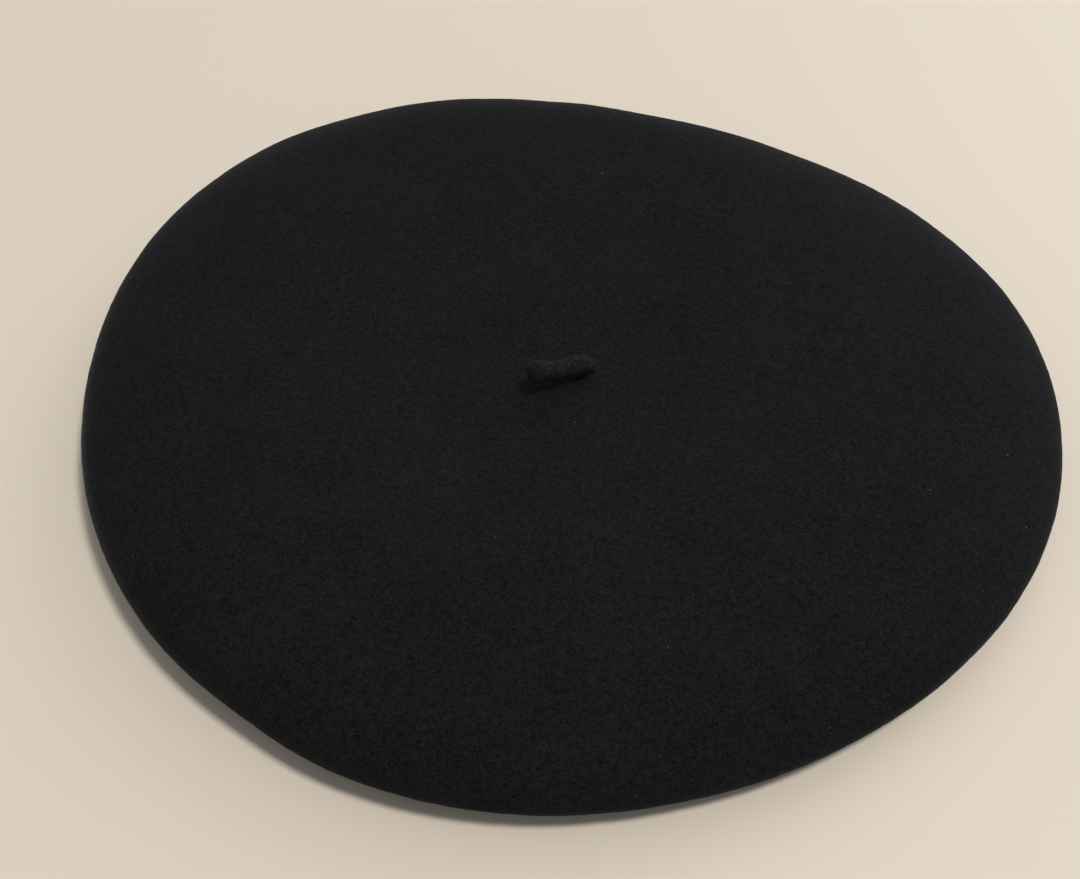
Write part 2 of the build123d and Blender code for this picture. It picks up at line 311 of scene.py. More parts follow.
def slab_loops(outline, normals, low, thick, rows, shape=None):
    """Loops round a flat sheet with rounded edges; shape adds to its height."""
    half = thick / 2
    inner = outline - normals * half
    shares = np.linspace(0.02, 1, rows)
    flat = [(inner * s, low + 0 * inner[:, 0]) for s in shares]
    edge = [(inner + normals * half * math.cos(a), low + half + half * math.sin(a) + 0 * inner[:, 0])
            for a in np.radians((-55, -18, 18, 55))]
    back = [(inner * s, low + thick + 0 * inner[:, 0]) for s in shares[::-1]]
    loops = np.array([np.column_stack([xy, z]) for xy, z in flat + edge + back])
    if shape is not None:
        loops[..., 2] += shape(loops[..., 0], loops[..., 1])
    return loops


def stitch_skin(middle, along, out, length, radius):
    """One stitch of twisted thread: it comes out of the cloth, lies on it and goes back in."""
    t = np.linspace(-1, 1, 13)
    rise = -1.6 * radius * np.abs(t) ** 5
    along, out = np.asarray(along, float), np.asarray(out, float)
    path = np.asarray(middle, float) + along * (t * length / 2)[:, None] + out * rise[:, None]
    turns = np.linspace(0, TURN, 10, endpoint=False)
    twist = 2 * turns[None, :] - (t * length / radius)[:, None]
    radii = radius * (0.97 + 0.13 * np.cos(twist)) * (1 - 0.35 * np.abs(t) ** 6)[:, None]
    return loft_skin(tube_loops(path, radii, 10))


def smooth_path(corners, count):
    """Evenly spaced points along one smooth curve that bends towards its corners."""
    curve = bpy.data.curves.new("path", "CURVE")
    curve.dimensions = "3D"
    spline = curve.splines.new("NURBS")
    spline.points.add(len(corners) - 1)
    for point, corner in zip(spline.points, corners):
        point.co = (*corner, 1)
    spline.order_u = 4
    spline.use_endpoint_u = True
    spline.resolution_u = 24
    bare = bpy.data.objects.new("path", curve)
    mesh = bpy.data.meshes.new_from_object(bare)
    line = np.array([v.co for v in mesh.vertices])
    bpy.data.objects.remove(bare)
    bpy.data.meshes.remove(mesh)
    steps = np.linalg.norm(np.diff(line, axis=0), axis=1)
    walked = np.concatenate([[0], np.cumsum(steps)])
    at = np.linspace(0, walked[-1], count)
    return np.stack([np.interp(at, walked, line[:, k]) for k in range(3)], axis=1)


def finish_piece(piece, node, body="hat"):
    """Hide the CAD node that a piece stands for, and put the piece on the body it rides on."""
    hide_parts(node)
    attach(piece, body)
    return piece


# ---------------------------------------- materials

def new_material(name):
    """An empty node material, its nodes, its links and its Principled shader."""
    material = bpy.data.materials.new(name)
    material.use_nodes = True
    tree = material.node_tree
    return material, tree.nodes, tree.links, tree.nodes["Principled BSDF"]


def add(nodes, kind, **values):
    """A node with its settings and its named inputs set."""
    node = nodes.new(kind)
    for key, value in values.items():
        if key in node.inputs:
            node.inputs[key].default_value = value
        else:
            setattr(node, key, value)
    return node


def weighed(nodes, links, parts):
    """The sum of some outputs, each times its weight."""
    total = None
    for output, weight in parts:
        step = add(nodes, "ShaderNodeMath", operation="MULTIPLY_ADD")
        links.new(output, step.inputs[0])
        step.inputs[1].default_value = weight
        step.inputs[2].default_value = 0.0
        if total is not None:
            links.new(total, step.inputs[2])
        total = step.outputs[0]
    return total


def ramp(nodes, links, source, stops):
    """A colour ramp over an output: each stop is a place and a colour."""
    node = nodes.new("ShaderNodeValToRGB")
    elements = node.color_ramp.elements
    while len(elements) < len(stops):
        elements.new(1.0)
    for element, (place, colour) in zip(elements, stops):
        element.position = place
        element.color = (*colour, 1)
    links.new(source, node.inputs["Fac"])
    return node.outputs["Color"]


def bump(nodes, links, height, strength, distance, under=None):
    """A bump from a height, over another one if given."""
    node = add(nodes, "ShaderNodeBump", Strength=strength, Distance=distance)
    links.new(height, node.inputs["Height"])
    if under is not None:
        links.new(under, node.inputs["Normal"])
    return node.outputs["Normal"]


def set_shader(shader, **values):
    """Set the shader's uniform inputs, with _ for each space."""
    for key, value in values.items():
        shader.inputs[key.replace("_", " ")].default_value = value


def lint_mask(nodes, links, where):
    """1 on a few tiny bits of pale lint, 0 elsewhere."""
    bend = add(nodes, "ShaderNodeTexNoise", Scale=900, Detail=1)
    links.new(where, bend.inputs["Vector"])
    offset = add(nodes, "ShaderNodeVectorMath", operation="MULTIPLY_ADD")
    links.new(bend.outputs["Color"], offset.inputs[0])
    offset.inputs[1].default_value = (LINT_BEND,) * 3
    links.new(where, offset.inputs[2])
    cells = add(nodes, "ShaderNodeTexVoronoi", Scale=85)
    links.new(offset.outputs[0], cells.inputs["Vector"])
    near = add(nodes, "ShaderNodeMapRange")
    near.inputs["From Min"].default_value = 0.034
    near.inputs["From Max"].default_value = 0.018
    links.new(cells.outputs["Distance"], near.inputs["Value"])
    return near.outputs["Result"]


def felt_material(name, dark, light, sheen):
    """Black fulled wool: a short matted nap, faint mottling and a few specks of lint, with some sheen."""
    material, nodes, links, shader = new_material(name)
    where = add(nodes, "ShaderNodeTexCoord").outputs["Object"]
    nap = add(nodes, "ShaderNodeTexNoise", Scale=2000, Detail=2.5, Roughness=0.6)
    tufts = add(nodes, "ShaderNodeTexNoise", Scale=640, Detail=2, Roughness=0.5)
    cloud = add(nodes, "ShaderNodeTexNoise", Scale=38, Detail=4, Roughness=0.6)
    for texture in (nap, tufts, cloud):
        links.new(where, texture.inputs["Vector"])
    shares = [(nap.outputs["Fac"], 0.62), (tufts.outputs["Fac"], 0.26), (cloud.outputs["Fac"], 0.12)]
    tone = weighed(nodes, links, shares)
    wool = ramp(nodes, links, tone, [(0.40, dark), (0.60, light)])
    colour = add(nodes, "ShaderNodeMix", data_type="RGBA")
    links.new(lint_mask(nodes, links, where), colour.inputs["Factor"])
    links.new(wool, colour.inputs[6])
    colour.inputs[7].default_value = (*LINT, 1)
    links.new(colour.outputs[2], shader.inputs["Base Color"])
    fine = bump(nodes, links, nap.outputs["Fac"], 0.6, 0.30 * MM)
    broad = bump(nodes, links, tufts.outputs["Fac"], 0.4, 0.45 * MM, fine)
    links.new(broad, shader.inputs["Normal"])
    set_shader(shader, Roughness=0.95, Specular_IOR_Level=0.10, Sheen_Weight=sheen, Sheen_Roughness=0.28)
    set_shader(shader, Sheen_Tint=(0.85, 0.90, 0.96, 1))
    return material


def thread_material():
    """Waxed black sewing thread."""
    material, nodes, links, shader = new_material("black_thread")
    where = add(nodes, "ShaderNodeTexCoord").outputs["Object"]
    fibre = add(nodes, "ShaderNodeTexNoise", Scale=5200, Detail=2, Roughness=0.6)
    links.new(where, fibre.inputs["Vector"])
    stops = [(0.3, (0.010, 0.010, 0.011)), (0.7, (0.030, 0.030, 0.033))]
    colour = ramp(nodes, links, fibre.outputs["Fac"], stops)
    links.new(colour, shader.inputs["Base Color"])
    links.new(bump(nodes, links, fibre.outputs["Fac"], 0.5, 0.06 * MM), shader.inputs["Normal"])
    set_shader(shader, Roughness=0.55, Specular_IOR_Level=0.35, Sheen_Weight=0.15, Sheen_Roughness=0.4)
    return material


def leather_material():
    """Fine-grained black leather, rubbed browner and smoother towards its top edge."""
    material, nodes, links, shader = new_material("black_leather")
    where = add(nodes, "ShaderNodeTexCoord").outputs["Object"]
    pebbles = add(nodes, "ShaderNodeTexVoronoi", feature="SMOOTH_F1", Scale=1300, Smoothness=0.6)
    creases = add(nodes, "ShaderNodeTexNoise", Scale=420, Detail=4, Roughness=0.6, Distortion=0.8)
    stains = add(nodes, "ShaderNodeTexNoise", Scale=55, Detail=3, Roughness=0.6)
    for texture in (pebbles, creases, stains):
        links.new(where, texture.inputs["Vector"])
    apart = add(nodes, "ShaderNodeSeparateXYZ")
    links.new(where, apart.inputs[0])
    wear = add(nodes, "ShaderNodeMapRange")
    wear.inputs["From Min"].default_value = BAND_TOP - WORN_EDGE
    wear.inputs["From Max"].default_value = BAND_TOP
    links.new(apart.outputs["Z"], wear.inputs["Value"])
    shares = [(stains.outputs["Fac"], 0.6), (pebbles.outputs["Distance"], 0.25)]
    shares += [(wear.outputs["Result"], 0.3)]
    tone = weighed(nodes, links, shares)
    stops = [(0.25, (0.009, 0.008, 0.0075)), (0.55, (0.022, 0.019, 0.017)), (0.95, (0.060, 0.045, 0.036))]
    links.new(ramp(nodes, links, tone, stops), shader.inputs["Base Color"])
    gloss = add(nodes, "ShaderNodeMapRange")
    gloss.inputs["To Min"].default_value = 0.50
    gloss.inputs["To Max"].default_value = 0.36
    links.new(stains.outputs["Fac"], gloss.inputs["Value"])
    links.new(gloss.outputs["Result"], shader.inputs["Roughness"])
    grain = bump(nodes, links, pebbles.outputs["Distance"], 0.45, 0.10 * MM)
    links.new(bump(nodes, links, creases.outputs["Fac"], 0.35, 0.12 * MM, grain), shader.inputs["Normal"])
    set_shader(shader, Specular_IOR_Level=0.45, Coat_Weight=0.08, Coat_Roughness=0.35)
    return material


def ribbon_material():
    """Black grosgrain: fine ribs across the ribbon."""
    material, nodes, links, shader = new_material("black_ribbon")
    along = add(nodes, "ShaderNodeAttribute", attribute_name="along").outputs["Fac"]
    where = add(nodes, "ShaderNodeTexCoord").outputs["Object"]
    scaled = add(nodes, "ShaderNodeMath", operation="MULTIPLY")
    scaled.inputs[1].default_value = TURN / RIB_PITCH
    links.new(along, scaled.inputs[0])
    ribs = add(nodes, "ShaderNodeMath", operation="SINE")
    links.new(scaled.outputs[0], ribs.inputs[0])
    yarn = add(nodes, "ShaderNodeTexNoise", Scale=3000, Detail=2, Roughness=0.6)
    links.new(where, yarn.inputs["Vector"])
    tone = weighed(nodes, links, [(ribs.outputs[0], 0.2), (yarn.outputs["Fac"], 1.0)])
    colour = ramp(nodes, links, tone, [(0.25, (0.006, 0.006, 0.007)), (0.75, (0.026, 0.026, 0.030))])
    links.new(colour, shader.inputs["Base Color"])
    fine = bump(nodes, links, yarn.outputs["Fac"], 0.3, 0.05 * MM)
    links.new(bump(nodes, links, ribs.outputs[0], 0.6, 0.05 * MM, fine), shader.inputs["Normal"])
    set_shader(shader, Roughness=0.5, Specular_IOR_Level=0.4, Sheen_Weight=0.2, Sheen_Roughness=0.35)
    return material


def woven_material(name, directions, dark, light, pitch, roughness, values):
    """A fine woven cloth: yarns both ways at a pitch, in two tones, with uneven shine."""
    material, nodes, links, shader = new_material(name)
    where = add(nodes, "ShaderNodeTexCoord").outputs["Object"]
    waves = []
    for direction in directions:
        wave = add(nodes, "ShaderNodeTexWave", bands_direction=direction, Distortion=0.4, Detail=1.0)
        wave.inputs["Scale"].default_value = WAVE_NODE_PITCH / pitch
        links.new(where, wave.inputs["Vector"])
        waves.append(wave.outputs["Fac"])
    soft = add(nodes, "ShaderNodeTexNoise", Scale=70, Detail=4, Roughness=0.6)
    links.new(where, soft.inputs["Vector"])
    tone = weighed(nodes, links, [(waves[0], 0.25), (waves[1], 0.15), (soft.outputs["Fac"], 0.6)])
    links.new(ramp(nodes, links, tone, [(0.25, dark), (0.75, light)]), shader.inputs["Base Color"])
    gloss = add(nodes, "ShaderNodeMapRange")
    gloss.inputs["To Min"].default_value = roughness + 0.08
    gloss.inputs["To Max"].default_value = roughness - 0.08
    links.new(soft.outputs["Fac"], gloss.inputs["Value"])
    links.new(gloss.outputs["Result"], shader.inputs["Roughness"])
    first = bump(nodes, links, waves[0], 0.35, 0.05 * MM)
    links.new(bump(nodes, links, waves[1], 0.25, 0.05 * MM, first), shader.inputs["Normal"])
    set_shader(shader, **values)
    return material


def film_material():
    """Soft clear plastic film, faintly cloudy and scuffed."""
    material, nodes, links, shader = new_material("clear_film")
    where = add(nodes, "ShaderNodeTexCoord").outputs["Object"]
    cloud = add(nodes, "ShaderNodeTexNoise", Scale=60, Detail=5, Roughness=0.65)
    scuffs = add(nodes, "ShaderNodeTexNoise", Scale=700, Detail=3, Roughness=0.5, Distortion=1.5)
    for texture in (cloud, scuffs):
        links.new(where, texture.inputs["Vector"])
    stops = [(0.3, (0.82, 0.85, 0.86)), (0.7, (0.95, 0.97, 0.98))]
    colour = ramp(nodes, links, cloud.outputs["Fac"], stops)
    links.new(colour, shader.inputs["Base Color"])
    gloss = add(nodes, "ShaderNodeMapRange")
    gloss.inputs["To Min"].default_value = 0.06
    gloss.inputs["To Max"].default_value = 0.24
    links.new(scuffs.outputs["Fac"], gloss.inputs["Value"])
    links.new(gloss.outputs["Result"], shader.inputs["Roughness"])
    links.new(bump(nodes, links, cloud.outputs["Fac"], 0.2, 0.3 * MM), shader.inputs["Normal"])
    set_shader(shader, Transmission_Weight=0.95, IOR=1.45)
    return material


def plain_material(name, colour, roughness):
    """A plain surface for the stage."""
    material, _, _, shader = new_material(name)
    set_shader(shader, Base_Color=(*colour, 1), Roughness=roughness)
    return material


# ---------------------------------------- felt body

def superellipse(turn, power):
    """A point on a unit superellipse, at a turn from its top in radians: across, up."""
    return np.sin(turn) ** (2 / power), np.cos(turn) ** (2 / power)


def felt_point(part, t, depth, angle):
    """Radius and height of the felt at angles round it, at a depth in from its outside.
    part is plate, shoulder or under, and t goes from 0 to 1 outwards, then back in underneath."""
    crest = CREST_R + CREST_SHIFT * np.cos(angle - math.radians(CREST_TOWARDS))
    edge = PLATE_R + crests(OUTLINE_WAVES, angle)
    for direction, reach, height in EDGE_DENTS:
        edge = edge + height * np.exp(-((np.degrees(angle) - direction) / reach) ** 2)
    rim = RIM_Z + crests(RIM_WAVES, angle)
    foot = HEM_R + FELT + FOOT_W
    if part == "plate":
        dish = DISH * (0.5 + 0.5 * math.cos(math.pi * t)) ** 1.2
        return crest * t, CREST_Z - dish - depth + 0 * angle
    if part == "shoulder":
        across, up = superellipse(t * math.pi / 2, SHOULDER_POWER)
        return crest + (edge - crest - depth) * across, rim + (CREST_Z - rim - depth) * up
    across, up = superellipse((1 - t) * math.pi / 2, UNDER_POWER)
    return foot + (edge - foot - depth) * across, rim - (rim - depth) * up


def hem_rows():
    """Radius and height round the hem: its foot, its inner face, its rounded top and its back."""
    outer = HEM_R + FELT
    soft = FELT / 2
    middle, top = HEM_R + soft, HEM_TOP - soft
    rows = [(outer + FOOT_W * k, 0) for k in (0.75, 0.4)]
    foot_bend, top_bend = np.radians((10, 35, 60, 85)), np.radians((30, 65, 90, 115, 150))
    rows += [(middle - soft * math.sin(a), soft - soft * math.cos(a)) for a in foot_bend]
    rows += [(HEM_R, z) for z in np.linspace(soft * 1.3, top, 6)]
    rows += [(middle - soft * math.cos(a), top + soft * math.sin(a)) for a in top_bend]
    rows += [(outer, z) for z in np.linspace(top, FELT * 1.4, 4)]
    return rows


def swell(x, y):
    """Height of the plate's broad hollows and swellings."""
    height = np.zeros_like(x)
    for x0, y0, across, along, turn, high in SWELLS:
        c, s = math.cos(math.radians(turn)), math.sin(math.radians(turn))
        u = ((x - x0) * c + (y - y0) * s) / across
        v = (-(x - x0) * s + (y - y0) * c) / along
        height += high * np.exp(-(u * u + v * v))
    return height


def felt_loops():
    """Loops of points from the plate's middle, over the rim, round the hem and back inside."""
    angle = np.linspace(0, TURN, FINE_GRID, endpoint=False)
    outside = [("plate", np.linspace(0.015, 1, 56)), ("shoulder", np.linspace(0, 1, 36)[1:])]
    outside += [("under", np.linspace(0, 1, 26)[1:])]
    inside = [("under", np.linspace(1, 0, 12)), ("shoulder", np.linspace(1, 0, 14)[1:])]
    inside += [("plate", np.linspace(1, 0.015, 20)[1:])]
    rows = [felt_point(part, t, 0, angle) for part, ts in outside for t in ts]
    rows += [(r + 0 * angle, z + 0 * angle) for r, z in hem_rows()]
    rows += [felt_point(part, t, FELT, angle) for part, ts in inside for t in ts]
    radius = np.array([r for r, _ in rows])
    height = np.array([z for _, z in rows])
    x, y = radius * np.cos(angle), radius * np.sin(angle)
    lift = np.clip((height - RIM_Z) / (CREST_Z - RIM_Z), 0, 1)
    return np.stack([x, y, height + lift * swell(x, y)], axis=-1)


def make_felt_body(material):
    """The felt bag as one closed shell."""
    piece = loft("felt_body_felt", felt_loops(), material)
    roughen(piece, FELT_BUMPS)
    return finish_piece(piece, "felt_body")


# ---------------------------------------- stalk

def make_stalk(material):
    """The stalk: it grows out of the plate, bends over at once and lies along it.
    The points of its path are how far ahead of the hinge, up and aside they lie, in millimetres."""
    joint = JOINTS["stalk_bend"]
    hinge, axis = np.array(joint["pos_m"]), np.array(joint["axis"])
    lie = np.cross(UP, axis)
    slope = math.tan(math.radians(STALK_RISE))
    root = [(1.6, -6.0, 0), (1.5, -4.0, 0), (1.3, -2.2, 0), (1.8, 0, 0), (4.2, 1.3, -0.1)]
    rest = [(7.5, 7.5 * slope, 0.3), (12, 12 * slope + 0.3, -0.5), (17, 17 * slope, 0.1)]
    tip = [(STALK_LENGTH / MM, 20 * slope, 0.7)]
    corners = [hinge + MM * (ahead * lie + up * UP + aside * axis) for ahead, up, aside in root + rest + tip]
    path = smooth_path(corners, STALK_LOOPS)
    t = np.linspace(0, 1, STALK_LOOPS)
    radii = STALK_R * (1.0 - 0.08 * np.sin(math.pi * t) + 0.05 * np.cos(13 * t))
    flare, waist = 1.0 * MM * np.exp(-t / 0.06), 0.45 * MM * np.exp(-((t - 0.2) / 0.08) ** 2)
    round_end = np.clip((t - 0.87) / 0.13, 0, 1)
    radii = (radii + flare - waist) * np.sqrt(np.clip(1 - round_end ** 2, 0.004, 1))
    piece = loft("stalk_felt", tube_loops(path, radii, STALK_AROUND), material)
    roughen(piece, STALK_BUMPS)
    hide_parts("stalk")
    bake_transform(piece)
    return piece


# ---------------------------------------- sweatband

def band_inner(z):
    """Radius of the band's inner face at heights."""
    backs, heights = zip(*BAND_PROFILE)
    return HEAD_R + np.interp(z, heights, backs)


def on_band(along, inwards, z, direction=BACK):
    """Points by how far they are along the band's inner face, in from it, and up."""
    turn = math.radians(direction) - np.asarray(along) / HEAD_R
    radius = band_inner(z) - inwards
    return np.stack([radius * np.cos(turn), radius * np.sin(turn), z + 0 * turn], axis=-1)


def band_section():
    """How far the band's surface lies out from its inner face, and its height, round its section."""
    half = LEATHER / 2
    groove_z = BAND_TOP - GROOVE_BELOW
    heights = np.linspace(BAND_LOW + half, BAND_TOP - half, 22)
    heights = np.sort(np.append(heights, groove_z + GROOVE_W * np.array((-1.5, -1, -0.5, 0, 0.5, 1, 1.5))))
    groove = GROOVE_DEPTH * np.exp(-((heights - groove_z) / GROOVE_W * 1.4) ** 2)
    bend = np.radians((25, 65, 90, 115, 155))
    top = [(half - half * math.cos(a), BAND_TOP - half + half * math.sin(a)) for a in bend]
    low = [(half + half * math.cos(a), BAND_LOW + half - half * math.sin(a)) for a in bend]
    outer = [(LEATHER, z) for z in np.linspace(BAND_TOP - half, BAND_LOW + half, 12)]
    return np.array(list(zip(groove, heights)) + top + outer + low)


def make_sweatband(material):
    """The leather band: a soft strip on edge, whose rounded ends meet at the back."""
    half_gap = BAND_GAP / 2 / HEAD_R
    turn = math.radians(BACK) + np.linspace(half_gap, TURN - half_gap, 420)
    out, z = band_section().T
    free = np.clip((z - BAND_HELD) / (BAND_TOP - BAND_HELD), 0, 1)
    lean = 0.30 * MM * np.sin(5 * turn + 0.6) + 0.22 * MM * np.sin(9 * turn + 2.0)
    radius = band_inner(z)[None, :] + out[None, :] + lean[:, None] * free[None, :]
    rise = 0.15 * MM * np.sin(7 * turn)[:, None] * free[None, :]
    x, y = radius * np.cos(turn)[:, None], radius * np.sin(turn)[:, None]
    loops = np.stack([x, y, z[None, :] + rise], axis=-1)
    piece = loft("sweatband_leather", loops, material)
    roughen(piece, BAND_BUMPS)
    return finish_piece(piece, "sweatband")


def round_turns(radius, pitch):
    """Evenly spaced directions round a circle, in radians."""
    count = math.ceil(TURN * radius / pitch)
    return [TURN * (i + 0.5) / count for i in range(count)]


def band_stitch(direction, z, length):
    """One stitch lying along the band, at a direction in radians."""
    c, s = math.cos(direction), math.sin(direction)
    radius = float(band_inner(z)) - THREAD_R - TOUCH
    return stitch_skin((radius * c, radius * s, z), (-s, c, 0), (-c, -s, 0), length, THREAD_R)


def make_band_stitches(material):
    """The row of stitches along the band's foot, and the cross stitches over the gap between its ends."""
    seam = [band_stitch(a, SEAM_HEIGHT, SEAM_STITCH) for a in round_turns(HEAD_R, SEAM_PITCH)]
    join = [band_stitch(math.radians(BACK), z, JOIN_STITCH) for z in JOIN_HEIGHTS]
    finish_piece(joined("sweatband_seam_thread", seam, material), "sweatband_seam_stitches")
    finish_piece(joined("sweatband_join_thread", join, material), "sweatband_join_stitches")


# ---------------------------------------- ribbon bow

def loop_of_bow(side):
    """One loop of the bow as a soft teardrop of ribbon, pinched where it enters the knot."""
    t = np.linspace(0.04, 0.96, 60)
    out = np.sin(math.pi * t)
    along = side * LOOP_LENGTH * (1 - np.cos(TURN * t)) / 2
    inwards = LOOP_IN + LOOP_DEPTH / 2 * np.sin(TURN * t) * (0.45 + 0.75 * out ** 2)
    z = BOW_Z - 0.7 * MM * out ** 2 + side * 0.15 * MM * np.sin(TURN * t)
    path = np.stack([along, inwards, z], axis=1)
    narrow = 0.66 + 0.34 * out ** 0.8
    return strip_loops(path, (0, 0, 1), RIBBON_W / 2, RIBBON / 2, narrow)


def tail_of_bow(side):
    """One notched end of the bow, lying on the band and slanting down from the knot."""
    t = np.linspace(0.03, 1, 30)[:, None]
    u, v = rounded_section(RIBBON_W / 2, RIBBON / 2, flat_points=15)
    reach = 1 - TAIL_NOTCH * (1 - np.abs(u) / (RIBBON_W / 2))
    along = TAIL_LENGTH * t * reach
    drop = along * math.tan(math.radians(TAIL_SLANT))
    ripple = 0.22 * MM * np.sin(9.0 * t + side) * t
    narrow = 0.60 + 0.40 * np.clip(t / 0.3, 0, 1) ** 0.7
    z = BOW_Z - TAIL_DROP - drop + u * narrow
    return np.stack([side * along, TAIL_IN + side * v + ripple, z], axis=-1)


def knot_of_bow():
    """The turn of ribbon round the middle of the bow."""
    turn = np.linspace(0, TURN, 48, endpoint=False)
    inwards = KNOT_IN + (KNOT_DEPTH - RIBBON) / 2 * np.sign(np.cos(turn)) * np.abs(np.cos(turn)) ** 0.75
    z = BOW_Z - 0.2 * MM + (KNOT_HEIGHT - RIBBON) / 2 * np.sign(np.sin(turn)) * np.abs(np.sin(turn)) ** 0.75
    path = np.stack([0 * turn, inwards, z], axis=1)
    along = np.roll(path, -1, 0) - np.roll(path, 1, 0)
    out = np.cross(along, (1.0, 0, 0))
    out /= np.linalg.norm(out, axis=1)[:, None]
    u, v = rounded_section(KNOT_W / 2, RIBBON / 2, flat_points=11)
    crease = 0.10 * MM * np.cos(3.0 * math.pi * u / (KNOT_W / 2))
    tight = 0.90 + 0.10 * np.cos(2 * turn)
    loops = path[:, None] + out[:, None] * (v + crease)[None, :, None]
    loops[..., 0] += tight[:, None] * u
    return loops


def ribbon_piece(name, node, shapes, material, closed=False):
    """One piece from strips of ribbon placed along the band."""
    skins, places = [], []
    for loops in shapes:
        placed = on_band(loops[..., 0], loops[..., 1], loops[..., 2])
        skins.append(loft_skin(placed, closed))
        places.append(placed)
    piece = joined(name, skins, material)
    values = []
    for placed, (points, _) in zip(places, skins):
        steps = np.linalg.norm(np.diff(placed.mean(1), axis=0), axis=1)
        walked = np.repeat(np.concatenate([[0], np.cumsum(steps)]), placed.shape[1])
        values.append(np.concatenate([walked, np.full(len(points) - len(walked), walked[-1])]))
    attribute = piece.data.attributes.new("along", "FLOAT", "POINT")
    attribute.data.foreach_set("value", np.concatenate(values))
    return finish_piece(piece, node)


def make_bow(material):
    """The bow over the join in the band: two loops, two notched tails and a knot."""
    ribbon_piece("bow_loops_ribbon", "bow_loops", [loop_of_bow(-1), loop_of_bow(1)], material)
    ribbon_piece("bow_tails_ribbon", "bow_tails", [tail_of_bow(-1), tail_of_bow(1)], material)
    ribbon_piece("bow_knot_ribbon", "bow_knot", [knot_of_bow()], material, closed=True)


# ---------------------------------------- lining

def tip_sag(x, y):
    """How the satin tip hangs: smooth under the film and at its edge, loose and wrinkled between."""
    radius, turn = np.hypot(x, y), np.arctan2(y, x)
    share = np.clip((radius - SAG_IN) / (SAG_OUT - SAG_IN), 0, 1)
    loose = np.sin(math.pi * share) ** 2
    wide = 0.55 + 0.25 * np.sin(3 * turn + 0.8) + 0.20 * np.sin(5 * turn + 2.4 + 4 * share)
    pleats = 0.20 * np.sin(31 * turn + 2 * np.sin(4 * turn)) * (0.4 + 0.6 * share)
    held = 1 - np.exp(-(((x - CARE_X) / (9 * MM)) ** 2 + (y / (14 * MM)) ** 2))
    edge = 0.10 * MM * np.clip((radius - 70 * MM) / (25 * MM), 0, 1) * (1 + np.sin(96 * turn))
    return held * (edge - SAG * loose * (wide + pleats))


def make_lining_tip(material):
    """The satin panel under the crown."""
    turn = np.linspace(0, TURN, 360, endpoint=False)
    normals = np.stack([np.cos(turn), np.sin(turn)], axis=1)
    loops = slab_loops(TIP_R * normals, normals, TIP_LOW, SATIN, 52, tip_sag)
    piece = finish_piece(loft("lining_tip_satin", loops, material), "lining_tip")


def make_lining_side(material):
    """The gathered satin strip from the hem up to the tip."""
    turn = np.linspace(0, TURN, 720, endpoint=False)
    foot_r, top_r, top_z = SIDE_FOOT_R, TIP_R - SATIN, TIP_LOW - 2 * TOUCH
    half = SATIN / 2
    path = [(t, foot_r + half + (top_r - foot_r) * t, SIDE_LOW + half + (top_z - SIDE_LOW - SATIN) * t)
            for t in np.linspace(0, 1, 14)]
    gather = np.sin(90 * turn + 3 * np.sin(7 * turn)) * (0.7 + 0.3 * np.sin(11 * turn))
    rows = []
    for side, places in ((-1, path), (1, path[::-1])):
        for t, r, z in places:
            middle = math.sin(math.pi * t)
            billow = SIDE_BILLOW * middle + SIDE_GATHER * middle ** 0.6 * gather
            rows.append((r + side * half + billow, z + 0 * turn))
        r, z = places[-1][1:]
        rows.append((r + 0 * turn, z - side * half + 0 * turn))
    loops = np.array([np.column_stack([r * np.cos(turn), r * np.sin(turn), z]) for r, z in rows])
    piece = loft("lining_side_satin", loops, material, closed=True)
    finish_piece(piece, "lining_side")


def make_lining_stitches(material):
    """Stitches round the joint between the lining's tip and side."""
    radius, z = TIP_R - SATIN - 2 * FINE_THREAD_R - 2 * TOUCH, TIP_LOW - FINE_THREAD_R - TOUCH
    skins = []
    for a in round_turns(radius, LINING_PITCH):
        c, s = math.cos(a), math.sin(a)
        skins.append(stitch_skin((radius * c, radius * s, z), (-s, c, 0), -UP, LINING_STITCH, FINE_THREAD_R))
    finish_piece(joined("lining_seam_thread", skins, material), "lining_seam_stitches")


def make_stalk_tacks(material):
    """Two crossed pairs of tacks inside the crown that hold the stalk's root."""
    node_low, node_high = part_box("stalk_root_stitches")
    x, y, _ = (node_low + node_high) / 2
    above, below = node_high.z - FINE_THREAD_R, node_low.z + FINE_THREAD_R
    skins = []
    for side in (-TACK_SPREAD, TACK_SPREAD):
        skins.append(stitch_skin((x, y + side, above), (1, 0, 0), -UP, TACK_LENGTH, FINE_THREAD_R))
        skins.append(stitch_skin((x + side, y, below), (0, 1, 0), -UP, TACK_LENGTH, FINE_THREAD_R))
    finish_piece(joined("stalk_root_thread", skins, material), "stalk_root_stitches")


# ---------------------------------------- labels and film

def rectangle(half_x, half_y):
    """Corners of a rectangle about the middle."""
    return [(half_x, -half_y), (half_x, half_y), (-half_x, half_y), (-half_x, -half_y)]


def label_relief(x, y):
    """The woven label's thicker turned-under ends and faint ripple."""
    ends = np.clip((np.abs(x) - (LABEL_X / 2 - 4 * MM)) / (0.6 * MM), 0, 1)
    return -0.06 * MM * ends + 0.03 * MM * np.sin(x / (5 * MM)) * np.cos(y / (4 * MM))


def make_maker_label(material):
    """A blank woven label under the middle of the tip."""
    outline, normals = rounded_outline(rectangle(LABEL_X / 2, LABEL_Y / 2), 0.7 * MM, 240)
    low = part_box("maker_label")[0].z
    loops = slab_loops(outline, normals, low + 0.03 * MM, LABEL_THICK - 0.06 * MM, 40, label_relief)
    piece = finish_piece(loft("maker_label_weave", loops, material), "maker_label")


